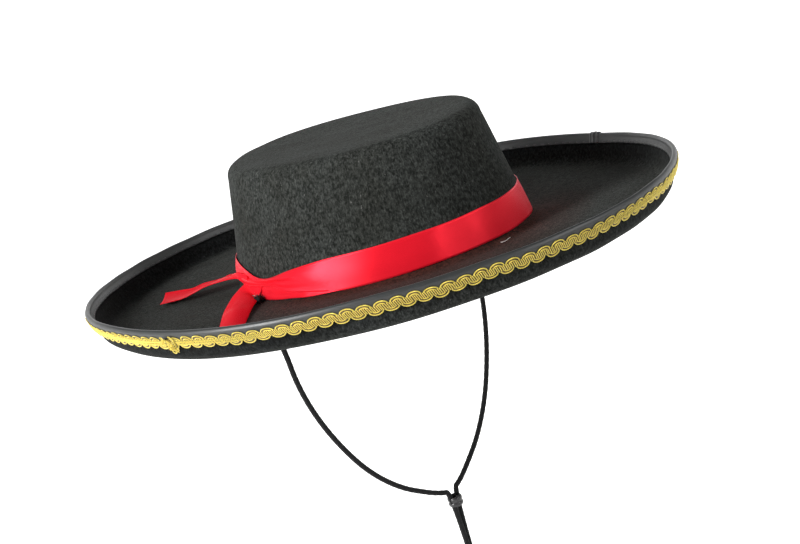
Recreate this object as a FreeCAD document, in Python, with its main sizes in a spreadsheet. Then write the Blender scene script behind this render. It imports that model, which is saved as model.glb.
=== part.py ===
import FreeCAD, Part
import math
import os
from FreeCAD import Vector

# A black felt hat with a flat-topped oval crown and a wide flat brim whose edge is turned up.
# Frame: origin at the centre of the head opening, in the plane of the brim's underside.
# +Z points up through the crown, -Y is the wearer's front and -X the wearer's right.

DRIVING_SIZES = {
    "felt": 2.0,                  # thickness of the pressed felt
    "glue_gap": 0.1,              # clearance between layers that are sewn or glued together
    "crown_half_width": 92.0,     # outside of the crown where it meets the brim
    "crown_half_length": 103.5,
    "tip_half_width": 76.0,       # outside of the crown at its top, before the edge is rounded
    "tip_half_length": 93.0,
    "crown_top": 82.3,            # height of the flat top above the brim's underside
    "tip_edge_radius": 8.0,
    "brim_half_width": 184.5,     # outside of the turned-up wall at its top
    "brim_half_length": 205.5,
    "wall_lean": 4.0,             # how far the wall leans out over its height
    "wall_top": 19.1,             # top of the felt wall
    "bend_radius": 9.0,           # outside of the bend between floor and wall
    "collar_height": 11.0,        # brim felt turned up inside the crown
    "wire_radius": 0.7,
    "binding_cloth": 0.7,
    "binding_depth": 4.2,         # how far the tape comes down each side of the wall
    "braid_width": 8.6,
    "braid_thickness": 1.7,
    "braid_drop": 2.9,            # from the top of the binding to the top of the braid
    "ribbon_width": 22.0,
    "ribbon_thickness": 0.5,
    "ribbon_foot": 2.4,           # height of the ribbon's lower edge
    "sweatband_thickness": 0.8,
    "sweatband_height": 30.0,
    "cord_diameter": 3.6,
    "cord_hole_radius": 2.1,
    "anchor_offset_width": 95.0,  # cord hole, sideways from the middle of the hat
    "anchor_offset_length": 15.0,
    "strand_spacing": 3.8,        # between the two strands where they hang side by side
    "slider_radius": 5.2,
    "slider_length": 7.0,
    "slider_top": -178.6,         # the slider at rest, just under the last bend of the strands
    "end_knot_radius": 5.0,
    "cord_end": -246.0,
}

# Right-hand strand of the chin cord, from under the brim to the end of the tail (mm).
# The left-hand strand is its mirror image, except where the two hang side by side.
STRAND_ROUTE = [
    (-95.0, 15.0, -5.3),
    (-91.0, 15.2, -18.0),
    (-88.4, 14.8, -35.0),
    (-88.0, 14.0, -56.0),
    (-83.0, 13.0, -80.0),
    (-73.0, 11.6, -106.0),
    (-58.5, 10.0, -132.0),
    (-39.5, 8.0, -153.0),
    (-20.5, 6.2, -166.0),
    (-9.5, 5.0, -172.2),
]
TAIL_CENTRE_Y = 4.0
TAIL_TOP = -174.6
PAIR_ANGLE = math.radians(30.0)     # the two strands lie side by side along this line
BEND_STEPS = 6                      # straight facets in each quarter-round bend

# How far a cutting solid runs past the faces it opens, and how far a joined one sinks in.
SLIVER = 0.01
OVERRUN = 5.0
SINK = 1.0

os.makedirs("parts", exist_ok=True)
doc = FreeCAD.newDocument("Hat")
sheet = doc.addObject("Spreadsheet::Sheet", "Sizes")
for row, (alias, value) in enumerate(DRIVING_SIZES.items(), start=1):
    sheet.set(f"A{row}", alias)
    sheet.set(f"B{row}", str(value))
    sheet.setAlias(f"B{row}", alias)
doc.recompute()

subparts = []


def cell(alias):
    return float(sheet.get(alias))


def keep(feature, label):
    """Gives a finished sub-part its label, which is also its file name."""
    feature.Label = label
    subparts.append(feature)
    return feature


def expression(text):
    """Writes a sum of aliases as an expression that reads the spreadsheet."""
    for alias in sorted(DRIVING_SIZES, key=len, reverse=True):
        text = text.replace(f"[{alias}]", f"Sizes.{alias}")
    return text


def oval(name, half_width, half_length, height):
    """One oval outline, longer front to back; the sizes are expressions."""
    outline = doc.addObject("Part::Ellipse", name)
    turn = FreeCAD.Rotation(Vector(0, 0, 1), 90)
    outline.Placement = FreeCAD.Placement(Vector(0, 0, 0), turn)
    outline.MajorRadius = 1000
    outline.setExpression("MajorRadius", expression(half_length))
    outline.setExpression("MinorRadius", expression(half_width))
    outline.setExpression(".Placement.Base.z", expression(height))
    return outline


def oval_solid(name, rows):
    """A solid through a stack of ovals, each (half width, half length, height)."""
    outlines = [oval(f"{name}_row{i}", *row) for i, row in enumerate(rows)]
    loft = doc.addObject("Part::Loft", name)
    loft.Sections = outlines
    loft.Solid = True
    loft.Ruled = True
    return loft


def cut(name, base, tool):
    result = doc.addObject("Part::Cut", name)
    result.Base = base
    result.Tool = tool
    return result


def grown(row, extra):
    """The same row of a stack with both half sizes made larger by an expression."""
    width, length, height = row
    return (f"{width} + ({extra})", f"{length} + ({extra})", height)


def crown_row(height, extra):
    """The crown's outside at a height, made larger by an expression."""
    share = f"(({height}) - [felt]) / ([crown_top] - [tip_edge_radius] - [felt])"
    width = f"[crown_half_width] - ([crown_half_width] - [tip_half_width]) * {share}"
    length = f"[crown_half_length] - ([crown_half_length] - [tip_half_length]) * {share}"
    return (f"{width} + ({extra})", f"{length} + ({extra})", height)


def wall_row(height, extra):
    """The outside of the brim's turned-up wall at a height, made larger by an expression."""
    lean = f"[wall_lean] * ([wall_top] - ({height})) / ([wall_top] - [bend_radius])"
    return (f"[brim_half_width] - {lean} + ({extra})", f"[brim_half_length] - {lean} + ({extra})", height)


def crown_stack(foot, inset):
    """The crown's rounded outline, moved in from its outside by an expression."""
    rows = [crown_row(foot, f"-({inset})")]
    for step in range(BEND_STEPS + 1):
        angle = math.radians(90.0 * step / BEND_STEPS)
        side = f"[tip_edge_radius] - ([tip_edge_radius] - {inset}) * {math.cos(angle):.6f}"
        height = f"[crown_top] - [tip_edge_radius] + ([tip_edge_radius] - {inset}) * {math.sin(angle):.6f}"
        rows.append((f"[tip_half_width] - ({side})", f"[tip_half_length] - ({side})", height))
    return rows


def brim_stack(inset):
    """The pan shape of the brim, moved in from its outside by an expression."""
    rows = []
    for step in range(BEND_STEPS + 1):
        angle = math.radians(90.0 * step / BEND_STEPS)
        side = f"[wall_lean] + [bend_radius] - ([bend_radius] - {inset}) * {math.sin(angle):.6f}"
        height = f"[bend_radius] - ([bend_radius] - {inset}) * {math.cos(angle):.6f}"
        rows.append((f"[brim_half_width] - ({side})", f"[brim_half_length] - ({side})", height))
    rows.append(wall_row("[wall_top]", f"-({inset})"))
    return rows


def shell_between(name, outer_rows, inner_rows):
    return cut(name, oval_solid(f"{name}_outside", outer_rows), oval_solid(f"{name}_inside", inner_rows))


# Crown: an oval felt shell, open below, with a rounded top edge.
crown_inside = crown_stack(f"[felt] - {SINK}", "[felt]")
crown = shell_between("crown_shell", crown_stack("[felt]", "0"), crown_inside)
keep(crown, "crown")

# Brim: a flat felt floor with its edge turned up, and a collar turned up inside the crown.
pan = shell_between("brim_pan", brim_stack("0"), brim_stack("[felt]") + [
    wall_row("[wall_top]", "-[felt]")[:2] + (f"[wall_top] + {OVERRUN}",)])
collar_face = "-[felt] - [glue_gap]"
opening_face = "-2 * [felt] - [glue_gap]"
collar_top = "[felt] + [collar_height]"
collar = oval_solid("brim_collar", [
    crown_row(f"[felt] - {SINK}", collar_face), crown_row(collar_top, collar_face)])
opening = oval_solid("head_opening", [
    crown_row(f"-{OVERRUN}", opening_face), crown_row("[crown_top]", opening_face)])
floor_and_collar = doc.addObject("Part::Fuse", "floor_and_collar")
floor_and_collar.Base = pan
floor_and_collar.Tool = collar
brim_open = cut("brim_open", floor_and_collar, opening)


def cord_hole(name, side):
    """A punched hole for one end of the chin cord; side is -1 on the right and 1 on the left."""
    hole = doc.addObject("Part::Cylinder", name)
    hole.setExpression("Radius", expression("[cord_hole_radius]"))
    hole.setExpression("Height", expression(f"[felt] + 2 * {OVERRUN}"))
    hole.setExpression(".Placement.Base.x", expression(f"{side} * [anchor_offset_width]"))
    hole.setExpression(".Placement.Base.y", expression("[anchor_offset_length]"))
    hole.setExpression(".Placement.Base.z", expression(f"-{OVERRUN}"))
    return hole


holes = doc.addObject("Part::MultiFuse", "cord_holes")
holes.Shapes = [cord_hole("right_cord_hole", -1), cord_hole("left_cord_hole", 1)]
keep(cut("brim_felt", brim_open, holes), "brim")

# Edge binding: a folded tape over the top of the wall, with the brim wire in its fold.
# Its faces lean in over the fold, outside and inside the cloth.
FOLD_LEAN = 0.9
SLOT_LEAN = 0.25
tape_bottom = "[wall_top] - [binding_depth]"
wire_room = "2 * [wire_radius] + 2 * [glue_gap]"
slot_top = f"[wall_top] + {wire_room}"
tape_top = f"{slot_top} + [binding_cloth]"
outer_face = "[binding_cloth] + [glue_gap]"
inner_face = "-[felt] - [binding_cloth] - [glue_gap]"
tape_block = shell_between("tape_block", [
    wall_row(tape_bottom, outer_face),
    wall_row("[wall_top]", outer_face),
    grown(wall_row("[wall_top]", outer_face), f"-{FOLD_LEAN}")[:2] + (tape_top,),
], [
    wall_row(f"{tape_bottom} - {SLIVER}", inner_face),
    wall_row("[wall_top]", inner_face),
    grown(wall_row("[wall_top]", inner_face), f"{FOLD_LEAN}")[:2] + (f"{tape_top} + {SLIVER}",),
])
felt_slot = shell_between("felt_slot", [
    wall_row(f"{tape_bottom} - {SINK}", "[glue_gap]"),
    wall_row("[wall_top]", "[glue_gap]"),
    grown(wall_row("[wall_top]", "[glue_gap]"), f"-{SLOT_LEAN}")[:2] + (slot_top,),
], [
    wall_row(f"{tape_bottom} - {SINK} - {SLIVER}", "-[felt] - [glue_gap]"),
    wall_row("[wall_top]", "-[felt] - [glue_gap]"),
    grown(wall_row("[wall_top]", "-[felt] - [glue_gap]"), f"{SLOT_LEAN}")[:2] + (f"{slot_top} + {SLIVER}",),
])
keep(cut("binding_tape", tape_block, felt_slot), "edge_binding")


def wire_row(angle, side):
    """One edge of the wire's six-sided section, in the fold above the middle of the felt."""
    reach = f"{side} * [wire_radius] * {math.cos(math.radians(angle)):.6f}"
    height = f"[wall_top] + [glue_gap] + [wire_radius] * {1 + math.sin(math.radians(angle)):.6f}"
    middle = wall_row("[wall_top]", f"-[felt] / 2 + {reach}")
    return middle[:2] + (height,)


WIRE_EDGES = (-60, -20, 20, 60)
keep(shell_between("wire", [wire_row(angle, 1) for angle in WIRE_EDGES],
                   [wire_row(angle, -1) for angle in WIRE_EDGES]), "brim_wire")

# Gold braid: a flat trim around the outside of the turned-up wall.
braid_top = f"{tape_top} - [braid_drop]"
braid_low = f"{braid_top} - [braid_width]"
braid_back = "[binding_cloth] + 2 * [glue_gap]"
braid_front = f"{braid_back} + [braid_thickness]"
keep(shell_between("braid_ring", [
    wall_row(braid_low, braid_front), wall_row(braid_top, braid_front),
], [
    wall_row(f"{braid_low} - {SLIVER}", braid_back), wall_row(f"{braid_top} + {SLIVER}", braid_back),
]), "gold_braid")

# Ribbon band around the foot of the crown.
ribbon_back = "[glue_gap]"
ribbon_front = "[glue_gap] + [ribbon_thickness]"
ribbon_top = "[ribbon_foot] + [ribbon_width]"
keep(shell_between("ribbon_ring", [
    crown_row("[ribbon_foot]", ribbon_front), crown_row(ribbon_top, ribbon_front),
], [
    crown_row(f"[ribbon_foot] - {SLIVER}", ribbon_back), crown_row(f"{ribbon_top} + {SLIVER}", ribbon_back),
]), "ribbon_band")

# Sweatband: a tape sewn inside the head opening, covering the collar.
band_back = f"{opening_face} - [glue_gap]"
band_face = f"{band_back} - [sweatband_thickness]"
band_foot = "0.5"
band_top = "[sweatband_height]"
keep(shell_between("sweatband_ring", [
    crown_row(band_foot, band_back), crown_row(band_top, band_back),
], [
    crown_row(f"{band_foot} - {SLIVER}", band_face), crown_row(f"{band_top} + {SLIVER}", band_face),
]), "sweatband")
doc.recompute()


def crown_half(height, extra):
    """The crown's outside half sizes at a height, in numbers."""
    share = (height - cell("felt")) / (cell("crown_top") - cell("tip_edge_radius") - cell("felt"))
    width = cell("crown_half_width") + (cell("tip_half_width") - cell("crown_half_width")) * share
    length = cell("crown_half_length") + (cell("tip_half_length") - cell("crown_half_length")) * share
    return width + extra, length + extra


def wall_half(height, extra):
    """The wall's outside half sizes at a height, in numbers."""
    lean = cell("wall_lean") * (cell("wall_top") - height) / (cell("wall_top") - cell("bend_radius"))
    return cell("brim_half_width") - lean + extra, cell("brim_half_length") - lean + extra


def oval_point(half_sizes, angle, height):
    return Vector(half_sizes[0] * math.cos(angle), half_sizes[1] * math.sin(angle), height)


def oval_heading(half_sizes, angle):
    """The direction along the oval at an angle, and the direction straight out of it."""
    along = Vector(-half_sizes[0] * math.sin(angle), half_sizes[1] * math.cos(angle), 0)
    along.normalize()
    return along, Vector(along.y, -along.x, 0)


def box_along(centre, along, outward, length, depth, height):
    """A small block centred on a point, its length along one direction."""
    upward = outward.cross(along) * -1
    block = Part.makeBox(length, depth, height, Vector(-length / 2, -depth / 2, -height / 2))
    turn = FreeCAD.Matrix(along.x, outward.x, upward.x, centre.x,
                          along.y, outward.y, upward.y, centre.y,
                          along.z, outward.z, upward.z, centre.z, 0, 0, 0, 1)
    return block.transformGeometry(turn)


def feature_of(shape, label):
    feature = doc.addObject("Part::Feature", f"{label}_solid")
    feature.Shape = shape
    return keep(feature, label)


def stitch_ring(label, half_sizes, height, count, length, thread):
    """A line of separate sewn stitches around an oval."""
    stitches = []
    for index in range(count):
        angle = 2 * math.pi * index / count
        along, outward = oval_heading(half_sizes, angle)
        centre = oval_point(half_sizes, angle, height)
        stitches.append(box_along(centre, along, outward, length, thread, thread))
    return feature_of(Part.makeCompound(stitches), label)


BINDING_STITCHES = 180
SWEATBAND_STITCHES = 120
STITCH_LENGTH = 3.2
THREAD = 0.5
STITCH_INSET = 1.2            # from the tape's edge to its line of stitches
SWEATBAND_STITCH_HEIGHT = 2.5
thread_face = THREAD / 2 + cell("glue_gap")
binding_stitch_height = cell("wall_top") - cell("binding_depth") + STITCH_INSET
binding_face = -cell("felt") - cell("binding_cloth") - cell("glue_gap")
stitch_ring("binding_stitching", wall_half(binding_stitch_height, binding_face - thread_face),
            binding_stitch_height, BINDING_STITCHES, STITCH_LENGTH, THREAD)
sweatband_face = -2 * cell("felt") - 2 * cell("glue_gap") - cell("sweatband_thickness")
stitch_ring("sweatband_stitching", crown_half(SWEATBAND_STITCH_HEIGHT, sweatband_face - thread_face),
            SWEATBAND_STITCH_HEIGHT, SWEATBAND_STITCHES, STITCH_LENGTH, THREAD)

# Joins: where the binding's and the braid's two ends lap over each other.
JOIN_GAP = 0.15
BINDING_JOIN_ANGLE = math.radians(-15.0)
BINDING_LAP = (9.0, 0.8)      # length and thickness
BINDING_LAP_LOW, BINDING_LAP_HIGH = 2.7, 0.4     # below the top of the binding
BRAID_JOIN_ANGLE = math.radians(182.0)
BRAID_LAP = (11.0, 1.0)
BRAID_LAP_OVER = 0.4          # how far the braid's lapped end stands past its edges


def wall_block(label, angle, low, high, length, depth, face):
    """A small lapped end lying against the outside of the wall."""
    height = (low + high) / 2
    half_sizes = wall_half(height, face + depth / 2)
    along, outward = oval_heading(half_sizes, angle)
    rise = Vector(0, 0, high - low) + outward * (
        cell("wall_lean") * (high - low) / (cell("wall_top") - cell("bend_radius")))
    rise.normalize()
    facing = along.cross(rise)
    centre = oval_point(half_sizes, angle, height)
    return feature_of(box_along(centre, along, facing, length, depth, high - low), label)


binding_top = cell("wall_top") + 2 * cell("wire_radius") + 2 * cell("glue_gap") + cell("binding_cloth")
braid_top_height = binding_top - cell("braid_drop")
braid_low_height = braid_top_height - cell("braid_width")
wall_block("braid_join", BRAID_JOIN_ANGLE,
           braid_low_height - BRAID_LAP_OVER, braid_top_height + BRAID_LAP_OVER, *BRAID_LAP,
           cell("binding_cloth") + 2 * cell("glue_gap") + cell("braid_thickness") + JOIN_GAP)
wall_block("binding_join", BINDING_JOIN_ANGLE, binding_top - BINDING_LAP_LOW, binding_top - BINDING_LAP_HIGH,
           *BINDING_LAP, cell("binding_cloth") + cell("glue_gap") + JOIN_GAP)


# Ribbon knot on the crown's right side, and the two cut ends of the ribbon.
RIBBON_END_THICKNESS = 0.6
KNOT_ANGLE = math.radians(169.0)
KNOT_SIZE = (15.0, 5.5, 12.0)      # along the band, out from it, and up
KNOT_ROUNDING = 2.6
KNOT_CLEARANCE = 1.2               # from the band to the back of the knot
FULL_WIDTH = cell("ribbon_width")


def ribbon_strip(label, sections):
    """A cut end of the ribbon: flat sections joined by straight runs.

    Each section is (its middle, the direction across the ribbon, the ribbon's width there).
    """
    outlines = []
    for index, (middle, across, width) in enumerate(sections):
        before = Vector(*sections[max(index - 1, 0)][0])
        after = Vector(*sections[min(index + 1, len(sections) - 1)][0])
        half = Vector(*across).normalize() * (width / 2)
        lift = (after - before).cross(half).normalize() * (RIBBON_END_THICKNESS / 2)
        centre = Vector(*middle)
        corners = [centre - half - lift, centre + half - lift, centre + half + lift, centre - half + lift]
        outlines.append(Part.makePolygon(corners + corners[:1]))
    return feature_of(Part.makeLoft(outlines, True, True), label)


knot_height = cell("ribbon_foot") + cell("ribbon_width") / 2
along, outward = oval_heading(crown_half(knot_height, 0), KNOT_ANGLE)
knot_offset = cell("ribbon_thickness") + KNOT_CLEARANCE + KNOT_SIZE[1] / 2
knot_middle = oval_point(crown_half(knot_height, knot_offset), KNOT_ANGLE, knot_height)
knot_block = box_along(knot_middle, along, outward, *KNOT_SIZE)
feature_of(knot_block.makeFillet(KNOT_ROUNDING, knot_block.Edges), "ribbon_knot")
ribbon_strip("upper_ribbon_tail", [
    ((-95.0, 29.0, 12.0), (0.1, 0.0, 1.0), 11.0),
    ((-95.0, 52.0, 13.0), (0.75, -0.05, 0.5), 18.0),
    ((-94.0, 78.0, 12.0), (1.0, 0.05, 0.15), FULL_WIDTH),
    ((-98.0, 112.0, 7.5), (1.0, 0.1, 0.05), FULL_WIDTH),
])
ribbon_strip("lower_ribbon_tail", [
    ((-98.8, 14.0, 12.5), (0.2, -0.2, 1.0), 11.0),
    ((-109.0, 5.0, 9.5), (0.6, -0.6, 0.5), 18.0),
    ((-127.0, -10.0, 4.8), (0.7, -0.7, 0.1), FULL_WIDTH),
    ((-148.0, -31.0, 3.0), (0.7, -0.7, 0.0), FULL_WIDTH),
])

# Chin cord: two strands, each knotted above a hole in the brim, hanging side by side below
# the slider and tied together at the end.
ANCHOR_KNOT_RADIUS = 2.8
KNOT_SQUASH = 0.8             # the knot's middle is this share of its radius above the felt
KNOT_LIFT = 0.05              # from the felt to the knot's flat underside
BALL_CENTRE = -2.5            # the stub ends in a ball here, where the strand swings
BIG_BOX = 40.0
cord_radius = cell("cord_diameter") / 2


def anchor_knot(label, side):
    """The knotted end of a strand on the brim, and the stub that goes down through the hole."""
    place = Vector(side * cell("anchor_offset_width"), cell("anchor_offset_length"), 0)
    middle = cell("felt") + ANCHOR_KNOT_RADIUS * KNOT_SQUASH
    knot = Part.makeSphere(ANCHOR_KNOT_RADIUS, place + Vector(0, 0, middle))
    corner = place + Vector(-BIG_BOX / 2, -BIG_BOX / 2, cell("felt") + KNOT_LIFT)
    above_felt = Part.makeBox(BIG_BOX, BIG_BOX, BIG_BOX, corner)
    stub = Part.makeCylinder(cord_radius, middle - BALL_CENTRE, place + Vector(0, 0, BALL_CENTRE))
    ball = Part.makeSphere(cord_radius, place + Vector(0, 0, BALL_CENTRE))
    return feature_of(knot.common(above_felt).fuse([stub, ball]).removeSplitter(), label)


ARC_SHARE = 0.45              # how much of a run each of its two arcs may take


def tube_along(points, radius):
    """A round tube on straight runs joined by arcs as large as the runs allow."""
    edges = []
    radii = []
    start = points[0]
    for before, corner, after in zip(points, points[1:], points[2:]):
        into = (corner - before).normalize()
        away = (after - corner).normalize()
        turn = into.getAngle(away)
        reach = ARC_SHARE * min((corner - before).Length, (after - corner).Length)
        bend = reach / math.tan(turn / 2)
        radii.append(bend)
        arc_start = corner - into * reach
        arc_end = corner + away * reach
        centre_way = (away - into).normalize()
        centre = corner + centre_way * math.hypot(bend, reach)
        edges.append(Part.LineSegment(start, arc_start).toShape())
        edges.append(Part.Arc(arc_start, centre - centre_way * bend, arc_end).toShape())
        start = arc_end
    edges.append(Part.LineSegment(start, points[-1]).toShape())
    path = Part.Wire(edges)
    section = Part.Wire([Part.Circle(points[0], points[1] - points[0], radius).toShape()])
    tube = path.makePipeShell([section], True, False)
    expected = math.pi * radius ** 2 * path.Length
    print("tube length", round(path.Length, 1), "radii", [round(r, 1) for r in radii],
          "volume share", round(tube.Volume / expected, 4))
    return tube


def strand_points(side):
    """The route of one strand; side is -1 on the right and 1 on the left."""
    route = [Vector(-side * x, y, z) for x, y, z in STRAND_ROUTE]
    spread = cell("strand_spacing") / 2 * side
    foot = Vector(spread * math.cos(PAIR_ANGLE), TAIL_CENTRE_Y + spread * math.sin(PAIR_ANGLE), TAIL_TOP)
    return route + [foot, Vector(foot.x, foot.y, cell("cord_end"))]


for side_name, side in (("right", -1), ("left", 1)):
    anchor_knot(f"{side_name}_anchor_knot", side)
    feature_of(tube_along(strand_points(side), cord_radius), f"{side_name}_cord_strand")

# Slider: a small barrel with a slot for the two strands.
SLIDER_ROUNDING = 1.1
slider_foot = cell("slider_top") - cell("slider_length")
slider_base = Vector(0, TAIL_CENTRE_Y, slider_foot)
barrel = Part.makeCylinder(cell("slider_radius"), cell("slider_length"), slider_base)
rims = [edge for edge in barrel.Edges if edge.Curve.TypeId == "Part::GeomCircle"]
barrel = barrel.makeFillet(SLIDER_ROUNDING, rims)
for side in (-1, 1):
    foot = strand_points(side)[-1]
    bore = Part.makeCylinder(cell("cord_hole_radius"), cell("slider_length") + 2 * OVERRUN,
                             Vector(foot.x, foot.y, slider_foot - OVERRUN))
    barrel = barrel.cut(bore)
feature_of(barrel, "cord_slider")

# End knot: both strands tied together below the slider.
KNOT_OVERLAP = 2.0
end_knot_middle = Vector(0, TAIL_CENTRE_Y, cell("cord_end") + KNOT_OVERLAP - cell("end_knot_radius"))
feature_of(Part.makeSphere(cell("end_knot_radius"), end_knot_middle), "cord_end_knot")

doc.recompute()
for item in doc.Objects:
    assert "Invalid" not in item.State and "Error" not in item.State, (item.Name, item.State)
for item in subparts:
    assert not item.Shape.isNull() and item.Shape.isValid(), item.Label
for item in subparts:
    item.Shape.exportStep(f"parts/{item.Label}.step")
    print(f"{item.Label}: {len(item.Shape.Solids)} solid(s), {item.Shape.Volume:.1f} mm3")
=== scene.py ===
import math

import bpy
import numpy as np
from mathutils import Matrix, Vector


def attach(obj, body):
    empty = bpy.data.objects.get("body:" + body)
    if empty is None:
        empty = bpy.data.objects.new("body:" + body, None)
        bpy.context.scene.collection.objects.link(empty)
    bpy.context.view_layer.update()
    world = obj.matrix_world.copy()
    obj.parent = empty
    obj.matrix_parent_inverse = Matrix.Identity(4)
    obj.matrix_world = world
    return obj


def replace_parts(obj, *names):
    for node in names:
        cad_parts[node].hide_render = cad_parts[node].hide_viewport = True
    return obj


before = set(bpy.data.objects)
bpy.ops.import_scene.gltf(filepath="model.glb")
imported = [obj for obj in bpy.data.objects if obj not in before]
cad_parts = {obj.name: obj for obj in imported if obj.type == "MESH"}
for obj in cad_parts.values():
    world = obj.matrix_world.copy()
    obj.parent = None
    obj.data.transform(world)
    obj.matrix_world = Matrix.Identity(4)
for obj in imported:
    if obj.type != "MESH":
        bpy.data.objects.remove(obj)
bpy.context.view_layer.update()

# Sizes are millimetres here and become metres when a mesh is made. The hat's frame is the CAD
# frame: the origin at the centre of the head opening, in the plane of the brim's underside,
# +Z up, -Y the wearer's front and -X the wearer's right.
MM = 0.001
TAU = 2 * math.pi
SIDES = (-1, 1)  # the wearer's right and left
rng = np.random.default_rng(11)

FELT = 2.0
WALL_TOP = 19.1
BEND = 9.0
WALL_LEAN = 4.0
BINDING_LOW = 14.9
BINDING_TOP = 21.4
CROWN_TOP = 82.3
TIP_RADIUS = 8.0
SIDE_TOP = CROWN_TOP - TIP_RADIUS
RIBBON_WIDTH = 22.0

# Worn ovals: half width, half length, centre x, centre y, turn in degrees.
RIM = (184.7, 205.2, -1.1, 2.3, 4.5)
CROWN_FOOT = (92.9, 104.1, 0.6, -0.6, 3.2)
CROWN_TIP = (76.1, 93.1, 0.0, -0.9, -0.3)


# ---------------------------------------------------------------- shape of the worn hat
def around(count):
    """Evenly spaced angles, once around."""
    return np.arange(count) / count * TAU


def at_height(flat, z):
    """Adds one height, or a height for each point, to a flat outline."""
    return np.concatenate([flat, np.broadcast_to(z, flat.shape[:-1])[..., None]], -1)


def oval(shape, theta, grow=0.0):
    """Points of an oval outline at an angle, moved out by a distance."""
    half_width, half_length, cx, cy, turn = shape
    turn = math.radians(turn)
    x = (half_width + grow) * np.cos(theta)
    y = (half_length + grow) * np.sin(theta)
    return np.stack([x * math.cos(turn) - y * math.sin(turn) + cx,
                     x * math.sin(turn) + y * math.cos(turn) + cy], -1)


def rim_rise(theta):
    """How much the rim of this hat, as worn, stands above or below its even height."""
    return (0.3 * np.cos(theta) + 0.3 * np.cos(2 * theta) - 0.25 * np.sin(2 * theta)
            - 0.2 * np.cos(3 * theta) + 0.95 * np.sin(3 * theta))


WAVES = [(rng.normal(size=3) * TAU / length, rng.uniform(0, TAU, 3), size)
         for length, size in ((230, 0.40), (170, 0.30), (120, 0.18), (90, 0.12), (70, 0.09), (55, 0.07))]


def worn(points):
    """Small uneven bends of the whole hat, the same for every piece on it."""
    points = np.asarray(points, float)
    moved = points.copy()
    for way, phase, size in WAVES:
        inner = points @ way
        for axis in range(3):
            moved[..., axis] += size * np.sin(inner + phase[axis])
    return moved


def smooth(low, high, value):
    share = np.clip((np.asarray(value, float) - low) / (high - low), 0, 1)
    return share * share * (3 - 2 * share)


def keyed(theta_degrees, keys):
    """A smooth closed curve through (angle, value) pairs."""
    angles = np.array([k[0] for k in keys], float)
    values = np.array([k[1] for k in keys], float)
    angles = np.concatenate([angles - 360, angles, angles + 360])
    values = np.tile(values, 3)
    t = np.mod(np.asarray(theta_degrees, float), 360)
    i = np.clip(np.searchsorted(angles, t, side="right") - 1, 1, len(angles) - 3)
    p0, p1, p2, p3 = values[i - 1], values[i], values[i + 1], values[i + 2]
    a0, a1, a2, a3 = angles[i - 1], angles[i], angles[i + 1], angles[i + 2]
    m1 = (p2 - p0) / (a2 - a0) * (a2 - a1)
    m2 = (p3 - p1) / (a3 - a1) * (a2 - a1)
    u = (t - a1) / (a2 - a1)
    return ((2 * u**3 - 3 * u**2 + 1) * p1 + (u**3 - 2 * u**2 + u) * m1
            + (-2 * u**3 + 3 * u**2) * p2 + (u**3 - u**2) * m2)


def crown_at(theta, z, off=0.0):
    """A point on the crown's side at an angle and height, moved out by a distance."""
    theta, z = np.broadcast_arrays(np.asarray(theta, float), np.asarray(z, float))
    share = ((z - FELT) / (SIDE_TOP - FELT))[..., None]
    off = np.broadcast_to(np.asarray(off, float), theta.shape)
    flat = oval(CROWN_FOOT, theta, off) * (1 - share) + oval(CROWN_TIP, theta, off) * share
    return at_height(flat, z)


def wall_at(theta, z, off=0.0):
    """A point on the outside of the turned-up wall at an angle and height."""
    theta, z = np.broadcast_arrays(np.asarray(theta, float), np.asarray(z, float))
    lean = -WALL_LEAN * (WALL_TOP - z) / (WALL_TOP - BEND)
    flat = oval(RIM, theta, lean + off)
    return at_height(flat, z + rim_rise(theta))


# ---------------------------------------------------------------- mesh makers
def make_mesh(name, points, faces, body, material, uvs=None, deform=True):
    """Makes a piece from points in millimetres; uvs holds one (u, v) pair for each point."""
    points = np.asarray(points, float).reshape(-1, 3)
    if deform:
        points = worn(points)
    mesh = bpy.data.meshes.new(name)
    mesh.from_pydata((points * MM).tolist(), [], [list(f) for f in faces])
    mesh.validate()
    if uvs is not None:
        layer = mesh.uv_layers.new(name="UVMap")
        corner = np.empty(len(mesh.loops), np.int32)
        mesh.loops.foreach_get("vertex_index", corner)
        layer.data.foreach_set("uv", np.asarray(uvs, np.float32).reshape(-1, 2)[corner].ravel())
    mesh.polygons.foreach_set("use_smooth", [True] * len(mesh.polygons))
    mesh.materials.append(material)
    piece = bpy.data.objects.new(name, mesh)
    bpy.context.scene.collection.objects.link(piece)
    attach(piece, body)
    return piece


def grid_faces(rows, columns, close_rows=False, close_columns=False, start=0):
    """Quads of a grid of points stored row by row."""
    i = np.arange(rows if close_rows else rows - 1)
    j = np.arange(columns if close_columns else columns - 1)
    i, j = np.meshgrid(i, j, indexing="ij")
    i2, j2 = (i + 1) % rows, (j + 1) % columns
    quads = np.stack([i * columns + j, i2 * columns + j, i2 * columns + j2, i * columns + j2], -1)
    return (quads.reshape(-1, 4) + start).tolist()


def grid_uvs(rows, columns, u_scale=1.0, v_scale=1.0):
    u, v = np.meshgrid(np.arange(rows) / rows * u_scale, np.arange(columns) / columns * v_scale,
                       indexing="ij")
    return np.stack([u, v], -1).reshape(-1, 2)


def path_frames(path, closed=False):
    """Directions along a path and two across it, turning as little as they can."""
    path = np.asarray(path, float)
    if closed:
        along = np.roll(path, -1, 0) - np.roll(path, 1, 0)
    else:
        along = np.gradient(path, axis=0)
    along /= np.linalg.norm(along, axis=1)[:, None]
    side = np.empty_like(path)
    start = np.cross(along[0], [0, 0, 1.0])
    if np.linalg.norm(start) < 0.2:
        start = np.cross(along[0], [1.0, 0, 0])
    side[0] = start / np.linalg.norm(start)
    for k in range(1, len(path)):
        s = side[k - 1] - along[k] * (side[k - 1] @ along[k])
        side[k] = s / np.linalg.norm(s)
    return along, side, np.cross(along, side)


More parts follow.
